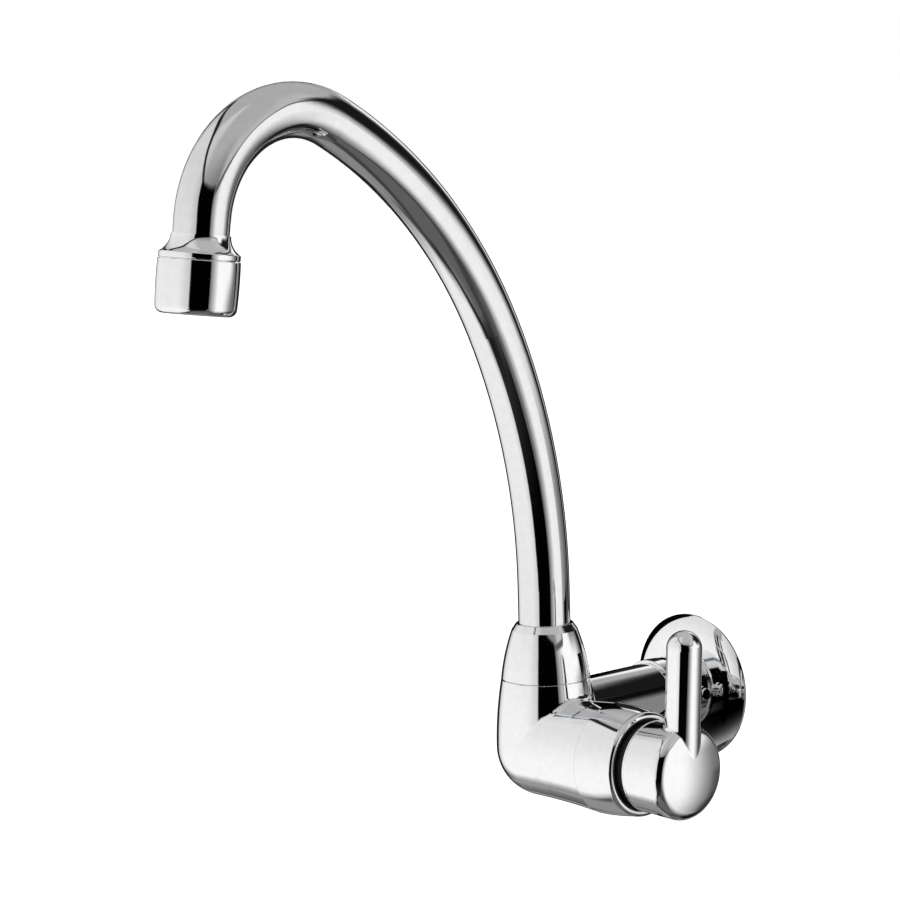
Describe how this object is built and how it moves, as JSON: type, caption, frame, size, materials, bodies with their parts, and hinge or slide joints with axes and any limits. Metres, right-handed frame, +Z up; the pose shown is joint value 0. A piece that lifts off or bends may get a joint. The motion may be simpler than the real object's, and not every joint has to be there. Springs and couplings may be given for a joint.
{
  "type": "wall-mounted kitchen tap",
  "caption": "Wall-mounted kitchen tap in chrome, with a swivelling swan-neck spout, an aerator, a round wall flange and a quarter-turn side lever.",
  "frame": {"origin": "middle of the wall flange's back face, on the axis of the inlet thread; the wall is the plane y = 0", "axes": "+Y into the wall along the inlet thread, +Z up, +X towards the side lever; the tap stands out of the wall along -Y"},
  "size_m": [0.1032, 0.2641, 0.2671],
  "materials": {
    "polished_chrome": "bright polished plating",
    "turned_brass": "turned, unplated",
    "black_rubber": "matt moulded",
    "white_ceramic": "lapped ceramic",
    "black_plastic": "matt moulded",
    "pale_plastic": "matt moulded",
    "steel": "bright stainless"
  },
  "bodies": {
    "body": {"tap_body": "polished_chrome", "inlet_nipple": "turned_brass", "wall_flange": "polished_chrome", "flange_set_screw": "polished_chrome", "flange_gasket": "black_rubber", "spout_collar": "polished_chrome", "spout_slide_ring_lower": "pale_plastic", "spout_slide_ring_upper": "pale_plastic", "seat_seal": "black_rubber", "fixed_disc": "white_ceramic", "headwork_body": "turned_brass", "headwork_o_ring": "black_rubber", "spindle_glide_washer": "pale_plastic", "side_sleeve": "polished_chrome", "handle_glide_ring": "black_plastic"},
    "spout": {"spout_tube": "polished_chrome", "spout_bush": "turned_brass", "spout_o_rings": "black_rubber", "spout_retaining_ring": "steel", "outlet_ferrule": "polished_chrome", "aerator_shell": "polished_chrome", "aerator_washer": "black_rubber", "aerator_screen": "steel", "aerator_insert": "pale_plastic"},
    "lever": {"handle": "polished_chrome", "handle_insert": "pale_plastic", "handle_grub_screw": "steel", "spindle": "turned_brass", "spindle_o_rings": "black_rubber", "spindle_circlip": "steel", "moving_disc": "white_ceramic"}
  },
  "joints": [
    {"name": "spout_swivel", "type": "hinge", "parent": "body", "child": "spout", "pos_m": [0, -0.078, 0], "axis": [0, 0, 1], "range_deg": [-110, 110]},
    {"name": "lever_turn", "type": "hinge", "parent": "body", "child": "lever", "pos_m": [0, -0.078, -0.0095], "axis": [1, 0, 0], "range_deg": [0, 90]}
  ]
}
